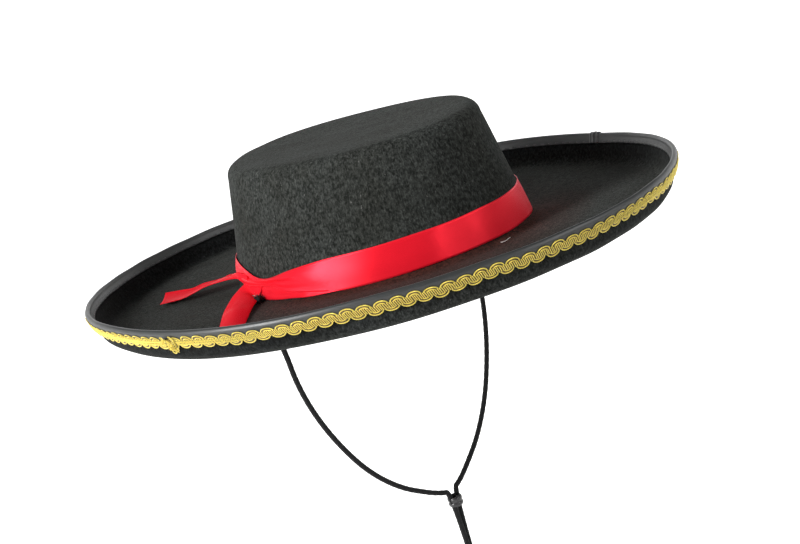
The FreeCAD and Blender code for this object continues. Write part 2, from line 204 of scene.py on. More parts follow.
def tube_parts(path, radius, sides, closed=False, radius_of=None):
    """Points, faces and uvs of a round tube along a path, its free ends closed by a small dome."""
    path = np.asarray(path, float)
    rows = len(path)
    along, side, up = path_frames(path, closed)
    step = np.linalg.norm(np.diff(path, axis=0), axis=1)
    run = np.concatenate([[0], np.cumsum(step)])
    angle = around(sides)
    r = np.broadcast_to(np.asarray(radius, float), (rows,))[:, None] * np.ones((1, sides))
    if radius_of is not None:
        r = r * radius_of(run[:, None], angle[None, :])
    ring = (path[:, None] + r[..., None] * (np.cos(angle)[None, :, None] * side[:, None]
                                            + np.sin(angle)[None, :, None] * up[:, None]))
    points = ring.reshape(-1, 3)
    uvs = np.stack(np.broadcast_arrays(run[:, None], angle[None] / TAU), -1).reshape(-1, 2)
    faces = grid_faces(rows, sides, closed, True)
    if not closed:
        tips = np.stack([path[0] - along[0] * r[0].mean() * 0.5, path[-1] + along[-1] * r[-1].mean() * 0.5])
        first = len(points)
        points = np.concatenate([points, tips])
        uvs = np.concatenate([uvs, [[run[0], 0], [run[-1], 0]]])
        last = (rows - 1) * sides
        for k in range(sides):
            n = (k + 1) % sides
            faces.append([k, n, first][::-1])
            faces.append([last + n, last + k, first + 1][::-1])
    return points, faces, uvs


def join_parts(parts):
    points, faces, uvs, count = [], [], [], 0
    for p, f, u in parts:
        points.append(p)
        uvs.append(u)
        faces.extend([[i + count for i in face] for face in f])
        count += len(p)
    return np.concatenate(points), faces, np.concatenate(uvs)


def joined(name, parts, body, material, deform=True):
    points, faces, uvs = join_parts(parts)
    return make_mesh(name, points, faces, body, material, uvs, deform)


def tubes(name, paths, radius, sides, body, material, deform=True):
    return joined(name, [tube_parts(path, radius, sides) for path in paths], body, material, deform)


def ring_loft(name, theta_count, section, body, material, u_length=1.0):
    """A closed ring: section(theta) gives its closed outline, an array (angles, outline, 3)."""
    theta = around(theta_count)
    rows = section(theta)
    n, m = rows.shape[:2]
    return make_mesh(name, rows, grid_faces(n, m, True, True), body, material,
                     grid_uvs(n, m, u_length, 1.0))


def spline_through(points, count):
    """A smooth curve through points, evenly sampled between each pair."""
    p = np.asarray(points, float)
    p = np.concatenate([[2 * p[0] - p[1]], p, [2 * p[-1] - p[-2]]])
    t = np.linspace(0, len(points) - 1, count)
    i = np.minimum(t.astype(int), len(points) - 2)
    u = (t - i)[:, None]
    p0, p1, p2, p3 = p[i], p[i + 1], p[i + 2], p[i + 3]
    return 0.5 * (2 * p1 + (p2 - p0) * u + (2 * p0 - 5 * p1 + 4 * p2 - p3) * u**2
                  + (3 * p1 - p0 - 3 * p2 + p3) * u**3)


def thick_sheet(name, surface, thickness, body, material, closed=False):
    """A sheet with a real thickness from a grid of points (along, across, 3)."""
    surface = np.asarray(surface, float)
    rows, columns = surface.shape[:2]
    if closed:
        du = np.roll(surface, -1, 0) - np.roll(surface, 1, 0)
    else:
        du = np.gradient(surface, axis=0)
    dv = np.gradient(surface, axis=1)
    normal = np.cross(du, dv)
    normal /= np.maximum(np.linalg.norm(normal, axis=2), 1e-9)[..., None]
    top, low = surface + normal * thickness / 2, surface - normal * thickness / 2
    points = np.concatenate([top.reshape(-1, 3), low.reshape(-1, 3)])
    count = rows * columns
    faces = grid_faces(rows, columns, closed)
    faces += [face[::-1] for face in grid_faces(rows, columns, closed, start=count)]
    last = rows if closed else rows - 1
    for i in range(last):
        a, b = i * columns, ((i + 1) % rows) * columns
        faces.append([a, count + a, count + b, b])
        a, b = a + columns - 1, b + columns - 1
        faces.append([b, count + b, count + a, a])
    if not closed:
        for j in range(columns - 1):
            faces.append([j + 1, count + j + 1, count + j, j])
            a = (rows - 1) * columns + j
            faces.append([a, count + a, count + a + 1, a + 1])
    step = np.linalg.norm(np.diff(surface.mean(1), axis=0), axis=1)
    run = np.concatenate([[0], np.cumsum(step)])
    u, v = np.meshgrid(run, np.linspace(0, RIBBON_WIDTH, columns), indexing="ij")
    uvs = np.tile(np.stack([u, v], -1).reshape(-1, 2), (2, 1))
    return make_mesh(name, points, faces, body, material, uvs)


# ---------------------------------------------------------------- materials
class Shader:
    """A small helper for node materials."""

    def __init__(self, name):
        self.material = bpy.data.materials.new(name)
        self.material.use_nodes = True
        self.nodes = self.material.node_tree.nodes
        self.links = self.material.node_tree.links
        self.surface = self.nodes["Principled BSDF"]

    def node(self, kind, **settings):
        made = self.nodes.new(kind)
        for key, value in settings.items():
            setattr(made, key, value)
        return made

    def link(self, source, target):
        self.links.new(source, target)

    def set(self, **values):
        for key, value in values.items():
            self.surface.inputs[key.replace("_", " ")].default_value = value

    def place(self, kind="Object", scale=(1, 1, 1), rotation=(0, 0, 0)):
        spot = self.node("ShaderNodeTexCoord")
        mapping = self.node("ShaderNodeMapping")
        mapping.inputs["Scale"].default_value = scale
        mapping.inputs["Rotation"].default_value = rotation
        self.link(spot.outputs[kind], mapping.inputs["Vector"])
        return mapping.outputs["Vector"]

    def noise(self, place, scale, detail=4.0, roughness=0.6):
        made = self.node("ShaderNodeTexNoise")
        made.inputs["Scale"].default_value = scale
        made.inputs["Detail"].default_value = detail
        made.inputs["Roughness"].default_value = roughness
        self.link(place, made.inputs["Vector"])
        return made.outputs["Fac"]

    def wave(self, place, scale, direction="X", distortion=0.0, detail=1.0):
        made = self.node("ShaderNodeTexWave", bands_direction=direction)
        made.inputs["Scale"].default_value = scale
        made.inputs["Distortion"].default_value = distortion
        made.inputs["Detail"].default_value = detail
        self.link(place, made.inputs["Vector"])
        return made.outputs["Fac"]

    def ramp(self, source, stops):
        made = self.node("ShaderNodeValToRGB")
        ramp = made.color_ramp
        while len(ramp.elements) < len(stops):
            ramp.elements.new(0.5)
        for element, (place, colour) in zip(ramp.elements, stops):
            element.position = place
            element.color = (*colour, 1.0) if len(colour) == 3 else colour
        self.link(source, made.inputs["Fac"])
        return made.outputs["Color"]

    def mix(self, factor, first, second, blend="MIX"):
        made = self.node("ShaderNodeMix", data_type="RGBA", blend_type=blend)
        for socket, value in ((made.inputs[0], factor), (made.inputs[6], first), (made.inputs[7], second)):
            if isinstance(value, bpy.types.NodeSocket):
                self.link(value, socket)
            elif isinstance(value, tuple):
                socket.default_value = (*value, 1.0)
            else:
                socket.default_value = value
        return made.outputs[2]

    def maths(self, operation, first, second=0.0):
        made = self.node("ShaderNodeMath", operation=operation)
        for socket, value in zip(made.inputs, (first, second)):
            if isinstance(value, bpy.types.NodeSocket):
                self.link(value, socket)
            else:
                socket.default_value = value
        return made.outputs["Value"]

    def colour(self, source):
        self.link(source, self.surface.inputs["Base Color"])

    def bump(self, source, strength, distance):
        made = self.node("ShaderNodeBump")
        made.inputs["Strength"].default_value = strength
        made.inputs["Distance"].default_value = distance
        self.link(source, made.inputs["Height"])
        self.link(made.outputs["Normal"], self.surface.inputs["Normal"])


def felt_material(name="felt_black", painted_light=False):
    """Pressed needle felt: matted grey-black fibre with paler flecks."""
    s = Shader(name)
    s.set(Roughness=0.88, Specular_IOR_Level=0.05, Sheen_Weight=0.03, Sheen_Roughness=0.5,
          Sheen_Tint=(0.75, 0.78, 0.74, 1.0))
    fibre = s.noise(s.place(scale=(1, 1, 0.42)), 1050, 5, 0.68)
    mat = s.noise(s.place(), 420, 5, 0.62)
    patch = s.noise(s.place(), 26, 3, 0.55)
    body = s.ramp(fibre, [(0.40, (0.004, 0.005, 0.004)), (0.51, (0.021, 0.023, 0.022)),
                          (0.63, (0.078, 0.084, 0.080))])
    body = s.mix(0.55, body, s.ramp(mat, [(0.41, (0.006, 0.007, 0.006)), (0.60, (0.040, 0.043, 0.040))]))
    body = s.mix(s.ramp(patch, [(0.35, (0, 0, 0)), (0.7, (1, 1, 1))]), body,
                 s.mix(1.0, body, (0.72, 0.70, 0.66), "MULTIPLY"))
    fleck = s.ramp(s.noise(s.place(scale=(1, 1, 0.6)), 620, 2, 0.4),
                   [(0.72, (0, 0, 0)), (0.80, (1, 1, 1))])
    body = s.mix(fleck, body, (0.10, 0.10, 0.095))
    if painted_light:
        # A painted red-brown reflection of the ribbon on the felt beside it, to match the photograph. It
        # colours both faces of the brim.
        away = s.node("ShaderNodeVectorMath", operation="LENGTH")
        s.link(s.place(scale=(1 / 0.093, 1 / 0.104, 0)), away.inputs[0])
        half = s.maths("MULTIPLY", away.outputs["Value"], 0.5)
        ring = s.ramp(half, [(0.50, (1, 1, 1)), (0.72, (0, 0, 0))])
        front = s.node("ShaderNodeSeparateXYZ")
        s.link(s.place(scale=(-4, -9, 1)), front.inputs[0])
        side = s.ramp(s.maths("ADD", front.outputs["X"], front.outputs["Y"]),
                      [(0.1, (0, 0, 0)), (0.6, (1, 1, 1))])
        body = s.mix(s.maths("MULTIPLY", ring, side), body,
                     s.mix(1.0, body, (1.45, 0.43, 0.33), "MULTIPLY"))
        # Painted shade: the turned-up wall is darker than the floor of the brim, to match the photograph.
        wall = s.ramp(half, [(0.93, (0, 0, 0)), (0.965, (1, 1, 1))])
        body = s.mix(wall, body, s.mix(1.0, body, (0.30, 0.31, 0.34), "MULTIPLY"))
    s.colour(body)
    s.bump(s.mix(0.5, fibre, mat), 0.75, 0.0006)
    return s.material


def binding_material():
    """Smooth black bias tape with a fine close weave and a soft shine."""
    s = Shader("binding_cloth")
    s.set(Roughness=0.40, Specular_IOR_Level=0.56)
    weave = s.noise(s.place(), 2600, 2, 0.5)
    cloud = s.noise(s.place(), 120, 3, 0.6)
    s.colour(s.mix(cloud, s.ramp(weave, [(0.3, (0.008, 0.009, 0.009)), (0.7, (0.019, 0.021, 0.021))]),
                   (0.016, 0.018, 0.018)))
    s.link(s.maths("MULTIPLY_ADD", cloud, 0.16), s.surface.inputs["Roughness"])
    s.nodes[-1].inputs[2].default_value = 0.34
    s.bump(weave, 0.22, 0.0002)
    return s.material


def gold_material(name, tint):
    """Wound metallic yarn: slanted turns of foil along each cord."""
    s = Shader(name)
    s.set(Metallic=0.6, Roughness=0.3, Specular_IOR_Level=0.7)
    turns = s.wave(s.place("UV", scale=(1, 1.6, 1), rotation=(0, 0, 0.5)), 1.15, "X", 0.4)
    grain = s.noise(s.place(), 900, 3, 0.6)
    # The dark troughs of the turns are painted shade between them, and the pale crests a painted highlight.
    dark = tuple(c * 0.42 for c in tint)
    pale = tuple(min(1.0, c * 1.12 + 0.06) for c in tint)
    body = s.ramp(turns, [(0.05, dark), (0.4, tint), (0.9, pale)])
    s.colour(s.mix(s.maths("MULTIPLY", grain, 0.7), body, tuple(c * 0.6 for c in tint)))
    s.bump(turns, 0.5, 0.0003)
    return s.material


def satin_material(name, shine, roughness, gloss, dark, pale):
    """Red satin ribbon: floating threads along its length, in a shiny face or a duller back."""
    s = Shader(name)
    s.set(Metallic=shine, Roughness=roughness, Anisotropic=0.8, Anisotropic_Rotation=0.25,
          Specular_IOR_Level=gloss, Specular_Tint=(1.0, 0.74, 0.84, 1.0))
    threads = s.wave(s.place("UV", scale=(0.15, 6, 1)), 1.2, "Y", 1.5, 2.0)
    cloud = s.noise(s.place("UV", scale=(0.5, 2.5, 1)), 0.35, 3, 0.6)
    body = s.ramp(threads, [(0.1, dark), (0.9, pale)])
    s.colour(s.mix(cloud, body, dark))
    s.bump(s.mix(0.4, threads, cloud), 0.16, 0.00025)
    return s.material


def cord_material():
    s = Shader("cord_black")
    s.set(Roughness=0.6, Specular_IOR_Level=0.14)
    yarn = s.wave(s.place("UV", scale=(1, 8, 1), rotation=(0, 0, 0.8)), 1.4, "X", 0.3)
    s.colour(s.ramp(yarn, [(0.1, (0.002, 0.002, 0.002)), (0.9, (0.009, 0.009, 0.010))]))
    s.bump(yarn, 0.35, 0.0002)
    return s.material


def plain_cloth_material(name, dark, pale, scale=1500, roughness=0.7):
    s = Shader(name)
    s.set(Roughness=roughness, Sheen_Weight=0.2)
    weave = s.noise(s.place(), scale, 3, 0.55)
    s.colour(s.ramp(weave, [(0.3, dark), (0.7, pale)]))
    s.bump(weave, 0.4, 0.0002)
    return s.material


def band_material():
    """Ribbed tape: upright ribs."""
    s = Shader("sweatband_grosgrain")
    s.set(Roughness=0.62, Sheen_Weight=0.2)
    ribs = s.wave(s.place("UV", scale=(1, 0.2, 1)), 62, "X", 0.2)
    s.colour(s.ramp(ribs, [(0.2, (0.012, 0.012, 0.013)), (0.8, (0.040, 0.040, 0.042))]))
    s.bump(ribs, 0.5, 0.0003)
    return s.material


def plastic_material():
    s = Shader("slider_black")
    s.set(Roughness=0.26)
    swirl = s.noise(s.place(), 240, 3, 0.5)
    s.colour(s.ramp(swirl, [(0.3, (0.010, 0.010, 0.011)), (0.7, (0.022, 0.021, 0.022))]))
    s.bump(swirl, 0.08, 0.0004)
    return s.material


def wire_material():
    s = Shader("steel_wire")
    s.set(Metallic=1.0, Roughness=0.35)
    grain = s.noise(s.place(), 800, 3, 0.5)
    s.colour(s.ramp(grain, [(0.3, (0.30, 0.30, 0.31)), (0.7, (0.52, 0.52, 0.53))]))
    return s.material


felt = felt_material()
# The brim's felt, with a painted reflection of the ribbon beside it and painted shade on the turned-up wall.
felt_brim_painted_light = felt_material("felt_brim_black", painted_light=True)
tape = binding_material()
gold = gold_material("gold_cord", (1.0, 0.75, 0.115))
# The braid's core yarn is coloured dark ochre as painted shade in the gaps between the bright turns.
gold_core_shade = plain_cloth_material("gold_core_shade", (0.030, 0.014, 0.002), (0.11, 0.056, 0.005), 1800, 0.6)
satin = satin_material("satin_face", 0.42, 0.40, 0.32, (0.80, 0.009, 0.022), (0.93, 0.014, 0.034))
satin_back = satin_material("satin_back", 0.05, 0.60, 0.06, (0.60, 0.006, 0.015), (0.70, 0.009, 0.022))
cord_black = cord_material()
thread_black = plain_cloth_material("thread_black", (0.008, 0.008, 0.009), (0.034, 0.034, 0.036), 2400, 0.5)
# Pale lint, also used for the painted glints in the anchor tuft.
pale_lint_and_glints = plain_cloth_material("pale_lint_and_glints", (0.42, 0.38, 0.36), (0.70, 0.66, 0.64), 3000, 0.8)
grosgrain = band_material()
plastic = plastic_material()
steel = wire_material()

# ---------------------------------------------------------------- camera
LOCATION = Vector((-570.8, -689.8, 193.5)) * MM
RIGHT = Vector((0.6909, -0.6660, -0.2813))
UP = Vector((0.3617, -0.0184, 0.9321))
right = RIGHT.normalized()
back = right.cross(UP).normalized()
up = back.cross(right)
lens = bpy.data.cameras.new("photo_camera")
lens.sensor_width = 36.0
lens.lens = 63.0
lens.clip_start = 0.05
lens.clip_end = 60.0
camera = bpy.data.objects.new("photo_camera", lens)
camera.matrix_world = Matrix(((right.x, up.x, back.x, LOCATION.x), (right.y, up.y, back.y, LOCATION.y),
                              (right.z, up.z, back.z, LOCATION.z), (0, 0, 0, 1)))
bpy.context.scene.collection.objects.link(camera)
bpy.context.scene.camera = camera

# ---------------------------------------------------------------- chin cord
# Right-hand strand's route down to the tail, the same as in the CAD; the left one is its mirror image.
STRAND_ROUTE = [
    (-95.0, 15.0, -5.3),
    (-91.0, 15.2, -18.0),
    (-88.4, 14.8, -35.0),
    (-88.0, 14.0, -56.0),
    (-83.0, 13.0, -80.0),
    (-73.0, 11.6, -106.0),
    (-58.5, 10.0, -132.0),
    (-39.5, 8.0, -153.0),
    (-20.5, 6.2, -166.0),
    (-9.5, 5.0, -172.2),
]
# The two strands of the tail stand side by side, on a line turned a little from the hat's width.
PAIR_OFFSET = 1.9
PAIR_TURN = math.radians(30)
TAIL_Y, TAIL_TOP, CORD_END = 4.0, -174.6, -246.0
CORD_DIAMETER = 3.6


def tail_spot(side):
    """Where a strand stands in the doubled tail, seen from above."""
    x = side * (PAIR_OFFSET * math.cos(PAIR_TURN))
    return x, TAIL_Y + side * (PAIR_OFFSET * math.sin(PAIR_TURN))


def strand_route(side):
    """side is -1 for the wearer's right and 1 for the left."""
    x, y = tail_spot(side)
    return [(-side * p[0], p[1], p[2]) for p in STRAND_ROUTE] + [(x, y, TAIL_TOP), (x, y, CORD_END)]


def nurbs_line(name, route):
    """The points of the smooth line that a NURBS spline makes of a route, in millimetres."""
    data = bpy.data.curves.new(name, "CURVE")
    data.dimensions = "3D"
    data.resolution_u = 24
    spline = data.splines.new("NURBS")
    spline.points.add(len(route) - 1)
    for point, place in zip(spline.points, route):
        point.co = (*(Vector(place) * MM), 1.0)
    spline.order_u = 3
    spline.use_endpoint_u = True
    carrier = bpy.data.objects.new(name, data)
    bpy.context.scene.collection.objects.link(carrier)
    bpy.context.view_layer.update()
    made = bpy.data.meshes.new_from_object(carrier)
    points = np.array([v.co for v in made.vertices]) / MM
    bpy.data.objects.remove(carrier)
    bpy.data.meshes.remove(made)
    return points


def even_points(path, step):
    path = np.asarray(path, float)
    run = np.concatenate([[0], np.cumsum(np.linalg.norm(np.diff(path, axis=0), axis=1))])
    at = np.linspace(0, run[-1], max(2, int(round(run[-1] / step)) + 1))
    return np.stack([np.interp(at, run, path[:, k]) for k in range(3)], -1)


PLAIT_PITCH = 5.2


def plaited(run, angle):
    """The relief of a round plaited cord: strands crossing both ways around it."""
    one = np.cos(4 * angle + TAU * run / PLAIT_PITCH)
    other = np.cos(4 * angle - TAU * run / PLAIT_PITCH)
    return 1 + 0.045 * np.maximum(one, other)


def cord_piece(name, side):
    line = nurbs_line(f"{name}_line", strand_route(side))
    path = even_points(line, 0.45)
    points, faces, uvs = tube_parts(path, CORD_DIAMETER / 2 * 0.97, 32, radius_of=plaited)
    piece = make_mesh(name, points, faces, "chin_cord", cord_black, uvs, deform=False)
    return piece, path


right_strand, right_path = cord_piece("right_cord", -1)
left_strand, left_path = cord_piece("left_cord", 1)
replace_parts(right_strand, "right_cord_strand")
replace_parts(left_strand, "left_cord_strand")


def overhand_knot(name, centre, size, cord_radius, body, squash=(1.0, 1.0, 1.0), turn=0.0):
    """A small pulled-tight knot: one closed trefoil of cord."""
    t = np.linspace(0, TAU, 181)[:-1]
    shape = np.stack([np.sin(t) + 2 * np.sin(2 * t), np.cos(t) - 2 * np.cos(2 * t),
                      -1.15 * np.sin(3 * t)], -1)
    shape *= (size - cord_radius) / 3.0
    c, s = math.cos(turn), math.sin(turn)
    shape = shape @ np.array([[c, s, 0], [-s, c, 0], [0, 0, 1]]) * np.array(squash)
    points, faces, uvs = tube_parts(shape + np.array(centre), cord_radius, 16, closed=True,
                                    radius_of=lambda run, angle: 1 + 0.03 * np.cos(4 * angle + run * 1.3))
    return make_mesh(name, points, faces, body, cord_black, uvs, deform=False)


end_knot = overhand_knot("end_knot", (0, TAIL_Y, -248.9), 5.0, 1.75, "chin_cord", (1, 1, 1.25), 0.4)
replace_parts(end_knot, "cord_end_knot")
tail_ends = []
for side in SIDES:
    x, y = tail_spot(side)
    lean = np.array([side * 1.3, side * 0.5])
    ends = [(x, y, -250.5), (x + lean[0] * 0.3, y + lean[1] * 0.3, -253.5),
            (x + lean[0], y + lean[1], -257.5)]
    tail_ends.append(spline_through(ends, 14))
cut_ends = tubes("end_knot_cut_ends", tail_ends, 1.6, 16, "chin_cord", cord_black, deform=False)

# Anchor knots above the holes in the brim, with the stub that passes through the felt.
ANCHOR = (95.0, 15.0)
for label, side in (("right", -1), ("left", 1)):
    x, y = side * ANCHOR[0], ANCHOR[1]
    knot = overhand_knot(f"{label}_anchor", (x, y, 4.7), 3.6, 1.35, "hat", (0.82, 0.95, 0.75), side * 0.7)
    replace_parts(knot, f"{label}_anchor_knot")
    stub = even_points(spline_through([(x, y, 4.0), (x, y, -2.0), (x - side * 0.3, y, -6.2)], 12), 0.5)
    tubes(f"{label}_anchor_stub", [stub], 1.78, 24, "hat", cord_black, deform=False)


def slider_piece():
    """A turned bead with one oval slot that takes both strands side by side."""
    top, length = -178.6, 7.0
    outline = [(0.0, 4.3), (0.35, 4.8), (1.1, 5.2), (2.6, 5.2), (2.95, 4.95), (3.5, 4.85), (4.05, 4.95),
               (4.4, 5.2), (5.9, 5.2), (6.65, 4.8), (7.0, 4.3)]
    sides, bore = 96, 2.05
    angle = around(sides)
    rings = [np.stack([r * np.cos(angle), r * np.sin(angle), np.full(sides, -d)], -1) for d, r in outline]
    across = np.array([math.cos(PAIR_TURN), math.sin(PAIR_TURN)])
    beside = np.array([-math.sin(PAIR_TURN), math.cos(PAIR_TURN)])
    local = angle - PAIR_TURN
    slot_x = PAIR_OFFSET * np.sign(np.cos(local)) * (np.abs(np.cos(local)) > 0.02) + bore * np.cos(local)
    slot_y = bore * np.sin(local)
    inside = across[None] * slot_x[:, None] + beside[None] * slot_y[:, None]

    def slot_ring(depth, grow):
        return np.concatenate([inside * (1 + grow), np.full((sides, 1), -depth)], 1)

    rows = ([slot_ring(0.5, 0.0), slot_ring(0.12, 0.06), slot_ring(0.0, 0.14)] + rings
            + [slot_ring(length, 0.14), slot_ring(length - 0.12, 0.06), slot_ring(length - 0.5, 0.0)])
    rows = np.stack(rows) + np.array([0, TAIL_Y, top])
    piece = make_mesh("slider_bead", rows, grid_faces(len(rows), sides, True, True), "slider",
                      plastic, grid_uvs(len(rows), sides), deform=False)
    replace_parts(piece, "cord_slider")
    return piece


slider = slider_piece()

# ---------------------------------------------------------------- felt crown
THETAS = 420


def crown_piece():
    theta = around(THETAS)

    def shell(inset):
        """Rings from the foot up the side, over the rounded edge and in to the middle of the top."""
        rings = []
        for z in np.linspace(FELT + 0.05, SIDE_TOP, 26)[:-1]:
            rings.append(crown_at(theta, z, -inset))
        for a in np.linspace(0, math.pi / 2, 11):
            side = -TIP_RADIUS + (TIP_RADIUS - inset) * math.cos(a)
            rise = (TIP_RADIUS - inset) * math.sin(a)
            rings.append(at_height(oval(CROWN_TIP, theta, side), SIDE_TOP + rise))
        edge = rings[-1]
        middle = edge.mean(0)
        for share in np.linspace(0, 1, 16)[1:-1]:
            ring = edge + (middle - edge) * share
            # The flat top sinks a little towards its middle.
            ring[:, 2] -= 0.9 * smooth(0, 0.8, share)
            rings.append(ring)
        tilt = np.array([0.013, 0.009])
        for ring in rings:
            lift = smooth(30, SIDE_TOP, ring[:, 2])
            ring[:, 2] += (ring[:, :2] @ tilt) * lift
        middle = middle - np.array([0, 0, 0.9])
        return np.stack(rings), middle

    outer, outer_middle = shell(0.0)
    inner, inner_middle = shell(FELT)
    rows = len(outer)
    points = np.concatenate([outer.reshape(-1, 3), inner.reshape(-1, 3), [outer_middle], [inner_middle]])
    count = rows * THETAS
    faces = [f[::-1] for f in grid_faces(rows, THETAS, False, True)]
    faces += grid_faces(rows, THETAS, False, True, start=count)
    last, last_inner = (rows - 1) * THETAS, count + (rows - 1) * THETAS
    for k in range(THETAS):
        n = (k + 1) % THETAS
        faces.append([last + k, last + n, 2 * count])
        faces.append([last_inner + n, last_inner + k, 2 * count + 1])
        faces.append([k, count + k, count + n, n])
    piece = make_mesh("felt_crown", points, faces, "hat", felt)
    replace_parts(piece, "crown")


crown_piece()


# ---------------------------------------------------------------- felt brim
def brim_piece():
    theta = around(THETAS)
    rings = []

    def floor_ring(share, z, inset=0.0):
        flat = oval(CROWN_FOOT, theta, -inset) * (1 - share) + oval(RIM, theta, -WALL_LEAN - BEND) * share
        lift = rim_rise(theta) * smooth(0.45, 1.0, share)
        return at_height(flat, z + lift)

    opening, collar_back = 2 * FELT + 0.1, FELT + 0.1
    rings.append(at_height(oval(CROWN_FOOT, theta, -opening), 0.5))
    rings.append(at_height(oval(CROWN_FOOT, theta, -opening + 0.5), 0.0))
    for share in np.linspace(0.0, 1.0, 15):
        rings.append(floor_ring(share, 0.0))

    def bend(radius, a):
        flat = oval(RIM, theta, -WALL_LEAN - BEND + radius * math.sin(a))
        return at_height(flat, BEND - radius * math.cos(a) + rim_rise(theta))

    for a in np.linspace(0, math.pi / 2, 9)[1:]:
        rings.append(bend(BEND, a))
    for z in np.linspace(BEND, WALL_TOP - 0.5, 5)[1:]:
        rings.append(wall_at(theta, z))
    rings.append(wall_at(theta, WALL_TOP, -0.4))
    rings.append(wall_at(theta, WALL_TOP, -FELT + 0.4))
    for z in np.linspace(WALL_TOP - 0.5, BEND, 5)[:-1]:
        rings.append(wall_at(theta, z, -FELT))
    for a in np.linspace(math.pi / 2, 0, 9)[:-1]:
        rings.append(bend(BEND - FELT, a))
    for share in np.concatenate([np.linspace(1.0, 0.12, 18), [0.09, 0.065, 0.045, 0.03, 0.018, 0.008, 0.0]]):
        # Around the wearer's front the felt sweeps up into the crown's foot, below the ribbon's edge.
        near = max(0.0, 1 - share / 0.09) ** 2
        ring = floor_ring(share, FELT, 0.8 * near)
        ring[:, 2] += np.clip(0.2 - 0.7 * np.cos(theta) - 3.0 * np.sin(theta), 0, 3.0) * near
        rings.append(ring)
    rings.append(at_height(oval(CROWN_FOOT, theta, -collar_back), FELT))
    for z in (5.0, 9.0, 12.6):
        rings.append(crown_at(theta, z, -collar_back))
    rings.append(crown_at(theta, 13.0, -collar_back - 0.4))
    rings.append(crown_at(theta, 13.0, -opening + 0.4))
    for z in (12.6, 9.0, 5.0):
        rings.append(crown_at(theta, z, -opening))
    rows = np.stack(rings)
    faces = [f[::-1] for f in grid_faces(len(rows), THETAS, True, True)]
    piece = make_mesh("felt_brim", rows, faces, "hat", felt_brim_painted_light)
    # Punched holes for the two ends of the chin cord.
    for side in SIDES:
        bpy.ops.mesh.primitive_cylinder_add(vertices=40, radius=2.1 * MM, depth=12 * MM,
                                            location=(side * ANCHOR[0] * MM, ANCHOR[1] * MM, 1.0 * MM))
        punch = bpy.context.object
        punch.data.materials.append(felt_brim_painted_light)
        hole = piece.modifiers.new("hole", "BOOLEAN")
        hole.operation = "DIFFERENCE"
        hole.solver = "EXACT"
        hole.object = punch
        bpy.context.view_layer.objects.active = piece
        bpy.ops.object.modifier_apply(modifier=hole.name)
        bpy.data.objects.remove(punch)
    piece.data.polygons.foreach_set("use_smooth", [True] * len(piece.data.polygons))
    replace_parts(piece, "brim")


brim_piece()

# ---------------------------------------------------------------- edge binding and its wire
CLOTH = 0.7
FACE = CLOTH + 0.1
MIDDLE = -FELT / 2
BINDING_STITCHES = 180


def binding_section(theta, spread=0.0, low=BINDING_LOW, pucker=0.09):
    """The folded tape's closed outline at each angle."""
    rows = []
    gather = np.cos(theta * BINDING_STITCHES)
    half_out, half_in = FACE + FELT / 2 + spread, FELT / 2 + FACE - CLOTH + spread * 0.5
    rise_out = BINDING_TOP - WALL_TOP + spread
    rise_in = rise_out - CLOTH - spread * 0.5

    def row(z, off, press=0.0):
        return wall_at(theta, np.full_like(theta, 0) + z, MIDDLE + off + press)

    for z in np.linspace(low, WALL_TOP, 5):
        rows.append(row(z, half_out))
    for a in np.linspace(0, math.pi, 17)[1:-1]:
        ring = row(WALL_TOP, half_out * math.cos(a))
        ring[:, 2] += rise_out * math.sin(a)
        rows.append(ring)
    for z in np.linspace(WALL_TOP, low, 9):
        near = 1 - smooth(low, low + 3.0, z)
        ring = row(z, -half_out, -pucker * near * gather * (1 if z > low + 0.6 else 1.6))
        ring[:, 2] += pucker * 1.2 * near * gather
        rows.append(ring)
    for z in np.linspace(low, WALL_TOP, 5):
        near = 1 - smooth(low, low + 3.0, z)
        ring = row(z, -half_in, -pucker * near * gather)
        ring[:, 2] += pucker * 1.2 * near * gather
        rows.append(ring)
    for a in np.linspace(math.pi, 0, 9)[1:-1]:
        ring = row(WALL_TOP, half_in * math.cos(a))
        ring[:, 2] += rise_in * math.sin(a)
        rows.append(ring)
    for z in np.linspace(WALL_TOP, low, 4):
        rows.append(row(z, half_in))
    return np.stack(rows, 1)


binding = ring_loft("binding_tape", BINDING_STITCHES * 8, binding_section, "hat", tape,
                    1232.0)
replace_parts(binding, "edge_binding")


def wire_piece():
    theta = around(720)
    ring = wall_at(theta, np.full(720, WALL_TOP), MIDDLE)
    ring[:, 2] += 0.85
    points, faces, uvs = tube_parts(ring, 0.62, 12, closed=True)
    piece = make_mesh("rim_wire", points, faces, "hat", steel, uvs)
    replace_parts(piece, "brim_wire")


wire_piece()


def binding_join_piece():
    """The tape's lapped end: a second layer that starts and stops with a folded edge."""
    middle, half = math.radians(-18.0), 5.2 / 200
    theta = np.linspace(middle - half, middle + half, 25)
    rows = []
    for t in theta:
        share = abs(t - middle) / half
        ripple = 0.25 * math.cos((t - middle) * 260) * (1 - share)
        swell = 0.75 * (1 - smooth(0.72, 1.0, share)) + 0.08 + ripple
        rows.append(binding_section(np.array([t]), spread=float(swell), low=BINDING_LOW + 0.4, pucker=0.0)[0])
    rows = np.stack(rows)
    n, m = rows.shape[:2]
    faces = grid_faces(n, m, False, True)
    faces.append(list(range(m)))
    faces.append([(n - 1) * m + k for k in range(m)][::-1])
    piece = make_mesh("binding_lap", rows, faces, "hat", tape, grid_uvs(n, m, 10, 1))
    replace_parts(piece, "binding_join")


binding_join_piece()


